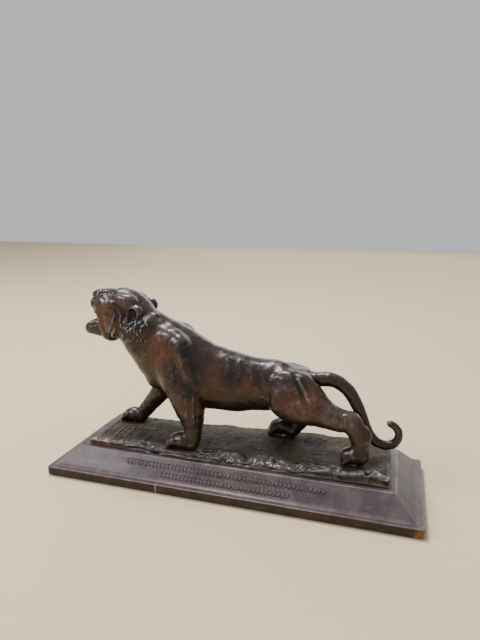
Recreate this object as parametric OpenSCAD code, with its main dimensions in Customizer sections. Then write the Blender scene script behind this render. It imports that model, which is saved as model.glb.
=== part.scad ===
// Cast metal paperweight: a roaring tiger striding over rocky ground, on a low sloping plinth.
// X runs from the tiger's nose (-X) to its tail (+X), -Y is its left side, Z is up from the desk.

/* [Plinth] */
// Length of the plinth over its skirt
plinth_length = 150; // [115:1:190]
// Width of the plinth over its skirt
plinth_width = 52.5; // [43:0.5:66]
// Height of the plinth casting, from its rim to its deck
plinth_height = 10.8; // [8:0.1:14]
// Height of the upright skirt band
skirt_height = 3.4; // [2.5:0.1:4.5]
// Width of the flat step above the skirt
step_width = 2.2; // [1:0.1:3]
// Run of the long sloping sides, seen from above
side_run = 6.1; // [4:0.1:8]
// Run of the sloping ends, seen from above
end_run = 7.8; // [5:0.1:11]
// Radius of the skirt's upright corners
corner_radius = 1; // [0.6:0.1:4]
// Thickness of the cast walls and deck
casting_wall = 3; // [2:0.1:4]

/* [Desk pad] */
// Thickness of the felt under the plinth
pad_thickness = 0.6; // [0.4:0.1:2]
// How far the felt lies inside the skirt
pad_inset = 1.4; // [0.5:0.1:3]

/* [Ground] */
// Typical thickness of the rocky ground slab
ground_thickness = 3; // [2.4:0.1:4.5]
// Bare deck left along each long side
side_setback = 2.2; // [0.8:0.1:4]
// Bare deck left at the head's end
head_end_setback = 4.6; // [1:0.1:7]
// Bare deck left at the tail's end
tail_end_setback = 2.8; // [1:0.1:6]
// Raggedness of the slab's edge
edge_wobble = 0.4; // [0:0.05:0.6]
// Height of the slab's bumps and hollows
bump_height = 0.5; // [0:0.05:0.8]

/* [Tiger] */
// Ground left free beyond the front and rear paws, measured to the paw seats
stance_margin = 10.8; // [9:0.1:20]
// Radius of the raised seat under each paw
seat_radius = 3; // [2.2:0.1:3.4]
// Depth that the ground drops around each seat
seat_relief = 0.3; // [0.1:0.05:0.6]

/* [Tail] */
// Radius of the tail where it enters the rump
tail_root_radius = 3; // [2.4:0.1:3.4]
// Radius of the tail's tip
tail_tip_radius = 1.3; // [0.8:0.1:1.8]
// Radius of the tenon behind the tail's root
tenon_radius = 1.5; // [1:0.1:2]
// Length of the tenon
tenon_length = 4.5; // [3:0.1:6]

/* [Screws] */
// Screw shank radius
screw_radius = 1.4; // [1:0.05:1.6]
// Depth of thread in each paw
thread_depth = 3.4; // [2.5:0.1:4]
// Head radius
head_radius = 2.6; // [2.2:0.1:3.2]
// Head height
head_height = 1.7; // [1.2:0.1:2.2]
// Radius of the round driver recess
recess_radius = 1.1; // [0.8:0.1:1.3]
// Washer radius
washer_radius = 3.4; // [3:0.1:4.2]
// Washer thickness
washer_thickness = 0.6; // [0.4:0.1:1]
// Radial clearance of the screws in the deck and the ground
hole_clearance = 0.25; // [0.1:0.05:0.5]
// Radial clearance of threads and tenons
fit_gap = 0.05; // [0.03:0.01:0.1]

/* [Hidden] */

BRONZE = [0.26, 0.15, 0.10];
BRONZE_GROUND = [0.33, 0.27, 0.20];
STEEL = [0.62, 0.62, 0.60];
FELT = [0.10, 0.22, 0.14];

deck_z = pad_thickness + plinth_height;
skirt_z = pad_thickness + skirt_height;
deck_half_length = plinth_length / 2 - step_width - end_run;
deck_half_width = plinth_width / 2 - step_width - side_run;
ground_half_length = deck_half_length - (head_end_setback + tail_end_setback) / 2;
ground_mid = (head_end_setback - tail_end_setback) / 2;
ground_half_width = deck_half_width - side_setback;

// The tiger is drawn at the size of a stance of 101 mm, and is scaled to the ground it stands on.
drawn_stance = 101;
drawn_half_width = 15.75;
s = 2 * (ground_half_length - stance_margin) / drawn_stance;
sy = min(s, ground_half_width / drawn_half_width);

// Paw seats: [x, y, height above the deck] as drawn, left fore, right fore, left hind, right hind.
PAWS = [[-20, -10.6, 1.8], [-52, 9.2, 1.8], [49.4, -7, 3.4], [18.3, 10, 3.7]];
drawn_ground = 3;
standing_z = deck_z + ground_thickness - drawn_ground;
function seat(i) = [PAWS[i][0] * s, PAWS[i][1] * sy, standing_z + PAWS[i][2] * s];

// Washers are trimmed where the hollow of a narrow plinth leaves too little room beside the paw screws.
outermost_paw = max([for (p = PAWS) abs(p[1])]);
washer_r = min(washer_radius, deck_half_width - casting_wall - outermost_paw * sy - 0.1);

// ---- plinth ----

// A bar along X whose cross-section steps in above the skirt and then slopes to the deck.
module stepped_bar(half, run, length, low, high, skirt) {
    rotate([90, 0, 90])
        linear_extrude(height = length, center = true)
            polygon([[-half, low], [half, low], [half, skirt], [half - step_width, skirt],
                     [half - step_width - run, high], [-half + step_width + run, high],
                     [-half + step_width, skirt], [-half, skirt]]);
}

module stepped_block(half_length, half_width, low, high, skirt) {
    intersection() {
        stepped_bar(half_width, side_run, 2 * half_length + 1, low, high, skirt);
        rotate(90) stepped_bar(half_length, end_run, 2 * half_width + 1, low, high, skirt);
    }
}

module rounded_slab(length, width, radius, low, high) {
    translate([0, 0, low]) {
        translate([-length / 2 + radius, -width / 2, 0]) cube([length - 2 * radius, width, high - low]);
        translate([-length / 2, -width / 2 + radius, 0]) cube([length, width - 2 * radius, high - low]);
        for (x = [-1, 1], y = [-1, 1])
            translate([x * (length / 2 - radius), y * (width / 2 - radius), 0])
                cylinder(r = radius, h = high - low, $fn = 48);
    }
}

module plinth() color(BRONZE)
    difference() {
        intersection() {
            stepped_block(plinth_length / 2, plinth_width / 2, pad_thickness, deck_z, skirt_z);
            rounded_slab(plinth_length, plinth_width, corner_radius, pad_thickness, deck_z);
        }
        // the cored underside keeps the wall's thickness everywhere
        stepped_block(plinth_length / 2 - casting_wall, plinth_width / 2 - casting_wall,
                      pad_thickness - 1, deck_z - casting_wall, skirt_z - casting_wall / 2);
        at_paws() cylinder(r = screw_radius + hole_clearance, h = 3 * deck_z, center = true, $fn = 48);
    }

module at_paws()
    for (i = [0 : len(PAWS) - 1])
        translate([seat(i)[0], seat(i)[1], 0]) children();

// ---- felt ----

module felt_pad() color(FELT)
    rounded_slab(plinth_length - 2 * pad_inset, plinth_width - 2 * pad_inset, corner_radius, 0, pad_thickness);

// ---- ground ----

function smooth(t) = let (c = min(1, max(0, t))) c * c * (3 - 2 * c);

// Lie of the land over the deck: it rises towards the tail, rolls down along the middle of the tiger's left side and
// thins out at the far corner by the head.
function slant(x, y) = let (u = x / ground_half_length, v = y / ground_half_width)
    max(0.6, ground_thickness + 0.9 * u
        - 1.3 * smooth((-v - 0.5) / 0.5) * smooth((0.75 - abs(u)) / 0.3)
        - 1.3 * smooth((v - 0.35) / 0.6) * smooth((0.4 - u) / 0.9));

// Long swells and short ripples, smaller where the slab is thin.
function land(x, y) = slant(x, y) + bump_height * min(1, slant(x, y) / 2.6)
    * (sin(7.6 * x + 40) * cos(6 * y) + 0.5 * sin(19 * x + 4 * y) * sin(11 * y + 60));

// 1 on a paw's seat, falling to 0 a few millimetres around it; longer than wide, as a paw is
function nearness(x, y, p) = 1 - smooth((norm([(x - p[0] + 1.5 * s) / 1.6, y - p[1]]) - 4.6 * s) / 4);

function levelled(x, y, h, i) = i == len(PAWS) ? h
    : let (w = nearness(x, y, seat(i)))
      levelled(x, y, h * (1 - w) + (seat(i)[2] - deck_z - seat_relief) * w, i + 1);

GROUND_COLUMNS = 48;
GROUND_ROWS = 16;

function ground_plan(i, j) =
    let (u = 2 * i / GROUND_COLUMNS - 1, v = 2 * j / GROUND_ROWS - 1)
    [ground_mid + u * (ground_half_length + edge_wobble * sin(700 * v + 30)),
     v * (ground_half_width + edge_wobble * sin(1900 * u + 60 * v))];

function rim_order() = concat(
    [for (i = [0 : GROUND_COLUMNS - 1]) i * (GROUND_ROWS + 1)],
    [for (j = [0 : GROUND_ROWS - 1]) GROUND_COLUMNS * (GROUND_ROWS + 1) + j],
    [for (i = [GROUND_COLUMNS : -1 : 1]) i * (GROUND_ROWS + 1) + GROUND_ROWS],
    [for (j = [GROUND_ROWS : -1 : 1]) j]);

module ground_slab() {
    plan = [for (i = [0 : GROUND_COLUMNS], j = [0 : GROUND_ROWS]) ground_plan(i, j)];
    top = [for (p = plan) [p[0], p[1], deck_z + levelled(p[0], p[1], land(p[0], p[1]), 0)]];
    rim = rim_order();
    n = len(rim);
    foot = [for (k = rim) [plan[k][0], plan[k][1], deck_z]];
    r = GROUND_ROWS + 1;
    polyhedron(
        points = concat(top, foot),
        faces = concat(
            [for (i = [0 : GROUND_COLUMNS - 1], j = [0 : GROUND_ROWS - 1])
                [i * r + j, i * r + j + 1, (i + 1) * r + j]],
            [for (i = [0 : GROUND_COLUMNS - 1], j = [0 : GROUND_ROWS - 1])
                [(i + 1) * r + j, i * r + j + 1, (i + 1) * r + j + 1]],
            [for (k = [0 : n - 1]) [rim[k], rim[(k + 1) % n], len(top) + (k + 1) % n]],
            [for (k = [0 : n - 1]) [rim[k], len(top) + (k + 1) % n, len(top) + k]],
            [[for (k = [0 : n - 1]) len(top) + k]]));
}

module ground() color(BRONZE_GROUND)
    difference() {
        union() {
            ground_slab();
            for (i = [0 : len(PAWS) - 1])
                translate([seat(i)[0], seat(i)[1], deck_z])
                    cylinder(r = seat_radius, h = seat(i)[2] - deck_z, $fn = 48);
        }
        at_paws() cylinder(r = screw_radius + hole_clearance, h = 5 * deck_z, center = true, $fn = 48);
    }

// ---- tiger ----

// Every station is [x, y, z, radius], with z measured from the desk as drawn on a deck at 11.4 mm.
drawn_deck = 11.4;
function place(p) = [p[0] * s, p[1] * sy, (p[2] - drawn_deck) * s + standing_z];

// The figure narrows with the ground it stands on, so its legs stay clear of the tail.
module ball(p, squash = 1)
    translate(place(p)) scale([1, squash * sy / s, 1]) sphere(r = p[3] * s, $fn = 26);

// A limb is a chain of tapering lengths between its stations.
module limb(stations, squash = 1)
    for (i = [0 : len(stations) - 2])
        hull() {
            ball(stations[i], squash);
            ball(stations[i + 1], squash);
        }

TRUNK = [[-45, 0, 61.7, 10.6], [-39.5, 0, 57, 12.3], [-32, 0, 51.2, 14.2], [-25, 0, 46.4, 15.2],
         [-13, 0, 41.7, 13.9], [0, 0, 40.5, 12.1], [9, 0, 40.2, 11], [17, 0, 40.5, 10.6], [24, 0, 40.2, 8.6]];
TRUNK_SQUASH = 0.76;

LEFT_FORE = [[-24, -6, 50, 9], [-17.5, -9, 37, 6.8], [-15.2, -10, 26, 4.8], [-14.9, -10.6, 17.8, 3.3]];
RIGHT_FORE = [[-26, 6, 48, 9], [-33.5, 8.5, 33, 6], [-42, 9.2, 24, 4.3], [-48.2, 9.2, 16.8, 3.4]];
LEFT_HIND = [[23, -5.5, 39.5, 8.2], [26, -7.5, 33, 7], [36, -7, 33.4, 5.8], [47, -7, 32, 3.8],
             [51.8, -7, 25.5, 3.6], [51.2, -7, 18.6, 3.2]];
RIGHT_HIND = [[22, 5.5, 39.5, 8.2], [19, 8.5, 32, 6.4], [28.5, 9.5, 28.4, 4], [24.5, 10, 21, 3.1], [22.4, 10, 18.2, 2.9]];

// Paws run forward from the heel to the toes.
LEFT_FORE_PAW = [[-15.7, -10.6, 16.1, 3.2], [-20, -10.6, 16.2, 3.7], [-24, -10.6, 15.6, 3.4]];
RIGHT_FORE_PAW = [[-48.6, 9.2, 16, 3.1], [-52.5, 9.2, 15.9, 3.6], [-56, 9.2, 15.4, 3.3]];
LEFT_HIND_PAW = [[51.2, -7, 17.7, 3.1], [49, -7, 17.9, 3.5], [46.9, -7, 17.5, 3.2]];
RIGHT_HIND_PAW = [[21.9, 10, 18, 3], [17.6, 10, 18.7, 3.7], [13.6, 10, 17.9, 3.4]];
PAW_SQUASH = 1.12;

// A leg and its paw, cut flat on the seat it stands on.
module leg(i, stations, paw)
    intersection() {
        union() {
            limb(stations);
            limb(paw, PAW_SQUASH);
        }
        translate([-plinth_length, -plinth_width, seat(i)[2]])
            cube([2 * plinth_length, 2 * plinth_width, plinth_length]);
    }

module head() {
    limb([[-48.5, 0, 68.8, 8.3], [-43, 0, 66, 8.6]], 0.95);
    limb([[-51, 0, 70.6, 6.4], [-59, 0, 71.8, 4.8], [-62.6, 0, 72.6, 3.6]], 0.95);
    limb([[-62.6, 0, 71, 3.2], [-64, 0, 71, 2.8]], 1.25);
    limb([[-48, 0, 60.5, 6], [-58, 0, 59.8, 4.2], [-64.5, 0, 59.6, 3.2], [-67.8, 0, 59, 2.4]], 1.1);
    for (side = [-1, 1]) {
        limb([[-46, 5.5 * side, 61.5, 5.2], [-42, 6.5 * side, 58, 4.6]]);
        limb([[-57.5, 3.4 * side, 69.6, 2.9], [-54.5, 3.8 * side, 63.5, 2.2]]);
        ear(side);
    }
}

module ear(side)
    hull() {
        ball([-43.5, 6.6 * side, 69, 1.6]);
        ball([-39.4, 7.2 * side, 67.6, 1.8]);
        ball([-40, 7.6 * side, 64.4, 1.6]);
    }

TAIL_ROOT = [28, 0, 44.6, 0];

module tiger() color(BRONZE)
    difference() {
        union() {
            limb(TRUNK, TRUNK_SQUASH);
            head();
            leg(0, LEFT_FORE, LEFT_FORE_PAW);
            leg(1, RIGHT_FORE, RIGHT_FORE_PAW);
            leg(2, LEFT_HIND, LEFT_HIND_PAW);
            leg(3, RIGHT_HIND, RIGHT_HIND_PAW);
        }
        for (i = [0 : len(PAWS) - 1])
            translate(seat(i) - [0, 0, 1])
                cylinder(r = screw_radius + fit_gap, h = thread_depth + 1, $fn = 32);
        // the tail's root sits in a shallow round seat, with a socket for the tenon at its floor
        translate(place(TAIL_ROOT)) rotate([0, 90, 0]) {
            cylinder(r = tail_root_radius * s + fit_gap, h = 12 * s, $fn = 48);
            translate([0, 0, -tenon_length - fit_gap])
                cylinder(r = tenon_radius + fit_gap, h = tenon_length + 1, $fn = 32);
        }
    }

// ---- tail ----

// Centre line of the tail past its straight root, as drawn.
TAIL_PATH = [[33, 0, 44.6], [37.5, -0.2, 45.2], [41.5, -0.6, 44.4], [45, -1, 42], [47.6, -1, 38.4],
             [49.8, -1, 34], [51.6, -1, 29.6], [53.6, -1, 25.4], [56.6, -1, 22.2], [60.6, -1, 21.2],
             [63.8, -1, 23], [64.8, -1, 26.2], [63.4, -1, 29], [61.4, -1, 30.2]];
TAIL_SIDES = 20;
TAIL_STEPS = 4;

function spline(a, b, c, d, t) =
    0.5 * (2 * b + (c - a) * t + (2 * a - 5 * b + 4 * c - d) * t * t + (3 * b - a - 3 * c + d) * t * t * t);

function tail_line() =
    let (n = len(TAIL_PATH), first = 2 * TAIL_PATH[0] - TAIL_PATH[1], last = 2 * TAIL_PATH[n - 1] - TAIL_PATH[n - 2])
    concat([for (i = [0 : n - 2], k = [0 : TAIL_STEPS - 1])
                spline(i == 0 ? first : TAIL_PATH[i - 1], TAIL_PATH[i], TAIL_PATH[i + 1],
                       i == n - 2 ? last : TAIL_PATH[i + 2], k / TAIL_STEPS)],
           [TAIL_PATH[n - 1]]);

function unit(v) = v / norm(v);

// Rings of points square to the line; the tail bends in an upright plane, so Y serves as one ring axis.
function tail_rings(line, radii) =
    [for (i = [0 : len(line) - 1])
        let (ahead = unit(line[min(i + 1, len(line) - 1)] - line[max(i - 1, 0)]),
             up = unit(cross(ahead, [0, 1, 0])), side = cross(up, ahead))
        [for (k = [0 : TAIL_SIDES - 1])
            place(line[i] + radii[i] * (cos(360 * k / TAIL_SIDES) * side + sin(360 * k / TAIL_SIDES) * up))]];

module swept_tail() {
    line = tail_line();
    n = len(line);
    radii = [for (i = [0 : n - 1])
        tail_tip_radius + (tail_root_radius - tail_tip_radius) * pow(1 - i / (n - 1), 1.1)];
    rings = tail_rings(line, radii);
    points = [for (ring = rings, p = ring) p];
    polyhedron(
        points = points,
        faces = concat(
            [[for (k = [0 : TAIL_SIDES - 1]) k]],
            [for (i = [0 : n - 2], k = [0 : TAIL_SIDES - 1])
                [i * TAIL_SIDES + k, (i + 1) * TAIL_SIDES + k, i * TAIL_SIDES + (k + 1) % TAIL_SIDES]],
            [for (i = [0 : n - 2], k = [0 : TAIL_SIDES - 1])
                [i * TAIL_SIDES + (k + 1) % TAIL_SIDES, (i + 1) * TAIL_SIDES + k,
                 (i + 1) * TAIL_SIDES + (k + 1) % TAIL_SIDES]],
            [[for (k = [TAIL_SIDES - 1 : -1 : 0]) (n - 1) * TAIL_SIDES + k]]));
}

module tail() color(BRONZE) {
    swept_tail();
    translate(place(TAIL_ROOT)) rotate([0, 90, 0]) {
        cylinder(r = tail_root_radius * s, h = (TAIL_PATH[0][0] - TAIL_ROOT[0] + 0.2) * s, $fn = 48);
        translate([0, 0, -tenon_length]) cylinder(r = tenon_radius, h = tenon_length + 1, $fn = 32);
    }
    translate(place(TAIL_PATH[len(TAIL_PATH) - 1])) sphere(r = tail_tip_radius * s * 1.1, $fn = 24);
}

// ---- fasteners ----

module paw_screws() color(STEEL)
    for (i = [0 : len(PAWS) - 1]) {
        seat_under = deck_z - casting_wall - washer_thickness;
        tip = seat(i)[2] + thread_depth - 0.4;
        translate([seat(i)[0], seat(i)[1], seat_under])
            difference() {
                union() {
                    cylinder(r = screw_radius, h = tip - seat_under, $fn = 48);
                    translate([0, 0, -head_height]) cylinder(r = head_radius, h = head_height, $fn = 48);
                }
                translate([0, 0, -head_height - 1])
                    cylinder(r = recess_radius, h = 1 + head_height * 0.6, $fn = 6);
            }
    }

module paw_washers() color(STEEL)
    at_paws() translate([0, 0, deck_z - casting_wall - washer_thickness])
        difference() {
            cylinder(r = washer_r, h = washer_thickness, $fn = 48);
            translate([0, 0, -1]) cylinder(r = screw_radius + fit_gap, h = washer_thickness + 2, $fn = 48);
        }

plinth();
ground();
tiger();
tail();
paw_screws();
paw_washers();
felt_pad();
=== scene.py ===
import math
import random
import bpy
import numpy as np
from mathutils import Matrix, Vector, noise
from mathutils.bvhtree import BVHTree


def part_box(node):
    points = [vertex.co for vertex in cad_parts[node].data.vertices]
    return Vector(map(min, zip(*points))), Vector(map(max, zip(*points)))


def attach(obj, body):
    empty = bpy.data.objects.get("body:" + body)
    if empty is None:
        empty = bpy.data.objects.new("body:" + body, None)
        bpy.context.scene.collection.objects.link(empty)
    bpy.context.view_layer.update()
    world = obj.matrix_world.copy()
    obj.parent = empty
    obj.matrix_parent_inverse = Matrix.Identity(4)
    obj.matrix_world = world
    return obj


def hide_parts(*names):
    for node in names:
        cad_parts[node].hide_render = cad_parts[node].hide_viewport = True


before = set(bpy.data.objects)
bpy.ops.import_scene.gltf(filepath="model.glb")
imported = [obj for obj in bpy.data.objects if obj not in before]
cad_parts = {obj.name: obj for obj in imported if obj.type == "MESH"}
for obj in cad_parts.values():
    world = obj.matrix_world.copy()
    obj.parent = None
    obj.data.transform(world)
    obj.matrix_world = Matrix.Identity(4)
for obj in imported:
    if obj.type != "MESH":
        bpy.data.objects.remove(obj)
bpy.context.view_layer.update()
mm = 0.001

print("camera, floor and lights")
cameraSettings = {
    "place": (60.9, -192.2, 110.4),  # mm from the middle of the felt's underside
    "turn": 17.14,  # degrees towards the head
    "tip": 12.38,  # degrees below level
    "lens": 29.08,
}
bpy.ops.object.camera_add(
    location=[c * mm for c in cameraSettings["place"]],
    rotation=(math.radians(90 - cameraSettings["tip"]), 0, math.radians(cameraSettings["turn"])),
)
camera = bpy.context.object
camera.name = "deskCamera"
camera.data.lens = cameraSettings["lens"]
camera.data.clip_start = 0.005
bpy.context.scene.camera = camera

studioSettings = {
    "floor": (0.62, 0.49, 0.31, 1),
    "floorRoughness": 0.75,
    "floorSize": 2.4,
    "sky": (0.84, 0.86, 0.90, 1),
    "skyStrength": 0.7,
    "softboxes": [  # name, place, target, size, power and colour
        ("overhead", (-0.22, 0.12, 0.75), (0, 0, 0.03), (0.30, 0.20), 8, (1, 1, 1)),
        ("backWall", (0.1, 1.1, 0.45), (0, 0, 0.05), (1.6, 0.7), 5, (1, 1, 1)),
        ("window", (-0.62, -0.45, 0.62), (0, 0, 0.03), (0.32, 0.26), 5, (0.90, 0.94, 1.0)),
    ],
}
bpy.ops.mesh.primitive_plane_add(size=studioSettings["floorSize"])
floor = bpy.context.object
floor.name = "paleFloor"
floorMaterial = bpy.data.materials.new("paleFloor")
floorMaterial.use_nodes = True
floorShader = floorMaterial.node_tree.nodes["Principled BSDF"]
floorShader.inputs["Base Color"].default_value = studioSettings["floor"]
floorShader.inputs["Roughness"].default_value = studioSettings["floorRoughness"]
floor.data.materials.append(floorMaterial)

world = bpy.data.worlds.new("studio")
world.use_nodes = True
sky = world.node_tree.nodes["Background"]
sky.inputs["Color"].default_value = studioSettings["sky"]
sky.inputs["Strength"].default_value = studioSettings["skyStrength"]
bpy.context.scene.world = world

for name, place, target, size, power, colour in studioSettings["softboxes"]:
    bpy.ops.object.light_add(type="AREA", location=place)
    lamp = bpy.context.object
    lamp.name = name
    lamp.data.shape = "RECTANGLE"
    lamp.data.size, lamp.data.size_y = size
    lamp.data.energy = power
    lamp.data.color = colour
    lamp.rotation_euler = (Vector(target) - Vector(place)).to_track_quat("-Z", "Y").to_euler()

# Lengths are in millimetres until a piece is finished.


def deselectAll():
    if bpy.context.object and bpy.context.object.mode != "OBJECT":
        bpy.ops.object.mode_set(mode="OBJECT")
    bpy.ops.object.select_all(action="DESELECT")


def addBall(centre, radii, tilt=(0, 0, 0)):
    bpy.ops.mesh.primitive_uv_sphere_add(segments=32, ring_count=18, radius=1, location=centre,
                                         rotation=[math.radians(t) for t in tilt])
    ball = bpy.context.object
    ball.scale = radii if hasattr(radii, "__len__") else (radii,) * 3
    return ball


def addTaper(a, b, ra, rb, wide=1.0):
    a, b = Vector(a), Vector(b)
    along = (b - a).normalized()
    across = Vector((0, 1, 0)) - along * along.y
    across.normalize()
    turn = Matrix((across.cross(along), across, along)).transposed()
    bpy.ops.mesh.primitive_cone_add(vertices=32, radius1=ra, radius2=rb, depth=(b - a).length,
                                    location=(a + b) / 2, rotation=turn.to_euler())
    taper = bpy.context.object
    taper.scale = (1, wide, 1)
    return taper


def addLimb(stations, wide=1.0):
    made = []
    for i, (x, y, z, r) in enumerate(stations):
        made.append(addBall((x, y, z), (r, r * wide, r)))
        if i:
            px, py, pz, pr = stations[i - 1]
            made.append(addTaper((px, py, pz), (x, y, z), pr, r, wide))
    return made


def joinAs(name, made):
    deselectAll()
    for o in made:
        o.select_set(True)
    bpy.context.view_layer.objects.active = made[0]
    if len(made) > 1:
        bpy.ops.object.join()
    piece = bpy.context.view_layer.objects.active
    piece.name = piece.data.name = name
    bpy.ops.object.transform_apply(location=True, rotation=True, scale=True)
    return piece


def applyModifier(piece, kind, **values):
    deselectAll()
    piece.select_set(True)
    bpy.context.view_layer.objects.active = piece
    m = piece.modifiers.new(kind.lower(), kind)
    for k, v in values.items():
        setattr(m, k, v)
    bpy.ops.object.modifier_apply(modifier=m.name)
    return piece


def fuse(piece, voxel, smoothing=0, factor=0.5):
    applyModifier(piece, "REMESH", mode="VOXEL", voxel_size=voxel)
    if smoothing:
        applyModifier(piece, "SMOOTH", factor=factor, iterations=smoothing)
    return piece


def carve(piece, cutter):
    applyModifier(piece, "BOOLEAN", operation="DIFFERENCE", object=cutter, solver="MANIFOLD")
    bpy.data.objects.remove(cutter)
    return piece


def drill(piece, x, y, low, high, r):
    carve(piece, joinAs("drillCut", [addTaper((x, y, low), (x, y, high), r, r)]))


def mirrored(stations):
    return [(x, -y, z, r) for x, y, z, r in stations]


print("tiger: masses")
tiger = {
    "trunk": [(-44.6, 0, 62.0, 10.3), (-39.5, 0, 57.2, 11.9), (-32, 0, 51.2, 14.2), (-25, 0, 46.4, 15.2),
              (-13, 0, 41.5, 14.1), (0, 0, 40.2, 12.5), (9, 0, 40.2, 11), (17, 0, 40.5, 10.6), (24, 0, 40.2, 8.6)],
    "trunkWide": 0.74,
    # centre, radii and tilt of what is alike on both sides, given for the left
    "bothSides": [
        ((-27, -6.0, 54), (7.5, 4.4, 9.0), (0, 28, 0)),  # shoulder blade
        ((-40, -5.5, 58), (7, 5, 9), (0, 40, 0)),  # side of the neck
        ((-14, -5.5, 42), (12, 5, 10), (0, 5, 0)),  # ribs
        ((23, -4.6, 42.5), (9, 4.6, 6.5), (0, 12, 0)),  # hip
    ],
    "single": [
        ((-33, 0, 42), (7.5, 9, 8.5), (0, 0, 0)),  # breast
        ((26.5, 0, 43.5), (6.5, 6, 5.2), (0, 0, 0)),  # croup
        ((-25, -7.6, 47), (8, 4.6, 9), (0, 0, 0)),  # left upper arm
        ((-27, 7.4, 47), (8, 4.6, 9), (0, 0, 0)),  # right upper arm
        ((23.5, -6.8, 37), (8.6, 4.6, 8.4), (0, 20, 0)),  # left thigh
        ((21.5, -7.0, 34.6), (5.2, 3.8, 4.4), (0, 0, 0)),  # left stifle
        ((21.5, 6.8, 37.5), (8.2, 4.6, 8.6), (0, 0, 0)),  # right thigh
        ((17.0, 8, 32.6), (5.2, 4.0, 4.8), (0, 0, 0)),  # right stifle
    ],
    "coreLimbs": [
        [(-21.5, -7.6, 56, 4.6), (-17.8, -9.0, 47, 4.4), (-14.8, -9.4, 40.4, 3.4)],  # left triceps
        [(-23, -8.4, 42, 7.0), (-18.6, -9.2, 35, 6.8), (-17, -9.6, 30, 5.6)],  # left forearm's head
        [(-24, 7.6, 54, 5.0), (-26, 8.6, 45, 5.0), (-29.5, 9, 37, 3.8)],  # right triceps
        [(-29, 8, 42, 7.0), (-34.5, 8.6, 34.5, 5.6), (-38, 8.9, 29.5, 4.8)],  # right forearm's head
        [(27, -7.4, 34.8, 6.6), (33.4, -7.2, 34.8, 6.6), (38.3, -7.1, 33.4, 5.4)],  # left shank
        [(28, -4.6, 43.2, 5.2), (33, -5.8, 39.6, 4.6), (38, -6.6, 36, 3.2)],  # left hamstring
        [(19.5, 8.4, 31.8, 6.0), (24.6, 9.2, 29.2, 4.8), (28.4, 9.5, 28.4, 3.9)],  # right shank
        [(26, 4.8, 43, 5.2), (26.6, 7, 36.5, 4.8), (28, 8.8, 31, 3.2)],  # right hamstring
    ],
    "limbs": [
        [(-18.4, -9.2, 35, 6.9), (-16.6, -9.6, 30, 6.2), (-15.8, -9.9, 26.5, 5.1), (-15.2, -10.2, 22, 3.9),
         (-15.0, -10.6, 17.6, 3.2)],
        [(-34.5, 8.6, 34.5, 5.6), (-38, 8.9, 29.5, 4.6), (-43, 9.2, 23.4, 3.9), (-48, 9.2, 17.2, 3.2)],
        [(33.4, -7.2, 34.6, 6.2), (38.3, -7.1, 33.2, 5.4), (43.3, -7, 31.6, 4.5), (47.2, -7, 31.8, 4.1),
         (49.4, -7, 28.2, 3.7), (51.2, -7, 24.4, 3.7), (51.2, -7, 19.5, 3.2)],
        [(52.6, -7, 29.0, 1.6), (54.2, -7, 26.2, 1.5), (53.6, -7, 23.6, 1.6)],  # fringe behind the left hock
        [(24.6, 9.2, 29.2, 4.5), (28.6, 9.5, 28.2, 3.7), (25.6, 9.9, 22.4, 3.2), (22.8, 10, 18.6, 3.0)],
    ],
    "paws": [
        [(-15.7, -10.6, 16.0, 3.2), (-20, -10.6, 16.6, 3.6), (-22.8, -10.6, 16.2, 3.1)],
        [(-48.6, 9.2, 15.8, 3.0), (-52.4, 9.2, 16.3, 3.4), (-54.8, 9.2, 15.9, 2.9)],
        [(51.2, -7, 17.8, 3.1), (49.0, -7, 18.6, 3.7), (46.9, -7, 18.1, 3.1)],
        [(22.2, 10, 18, 3.1), (17.6, 10, 19.2, 3.7), (14.8, 10, 18.4, 3.2)],
    ],
    "pawWide": 1.12,
    # toe tip x, paw's middle y, sole height, length of a toe
    "toes": [(-26.4, -10.6, 13.2, 3.6), (-58.2, 9.2, 13.2, 3.6), (45.0, -7, 14.8, 3.0), (11.9, 10, 15.1, 3.4)],
    "tailSeat": ((28, 0, 44.6), 3.1, 12),  # centre of its floor, radius, depth
    "tenonSocket": ((23.4, 0, 44.6), 1.6, 6),
    # middle and height of each sole, where a screw comes up: left fore, right fore, left hind, right hind
    "soles": [(-20, -10.6, 13.2), (-52, 9.2, 13.2), (49.4, -7, 14.8), (18.3, 10, 15.1)],
    "screwHole": (1.5, 3.4),  # radius, depth
    "coreVoxel": 0.8,
    "limbVoxel": 0.5,
    "fineVoxel": 0.26,
    "triangles": 196000,
}


def bothWays(rows):
    for centre, radii, tilt in rows:
        for side in (1, -1):
            x, y, z = centre
            yield addBall((x, side * y, z), radii, (side * tilt[0], tilt[1], side * tilt[2]))


core = addLimb(tiger["trunk"], tiger["trunkWide"])
core += list(bothWays(tiger["bothSides"]))
core += [addBall(*row) for row in tiger["single"]]
for stations in tiger["coreLimbs"]:
    core += addLimb(stations, 0.82)
body = fuse(joinAs("tigerCast", core), tiger["coreVoxel"], 16)

limbs = [body]
for stations in tiger["limbs"]:
    limbs += addLimb(stations, 0.85)
for stations in tiger["paws"]:
    limbs += addLimb(stations, tiger["pawWide"])

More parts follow.
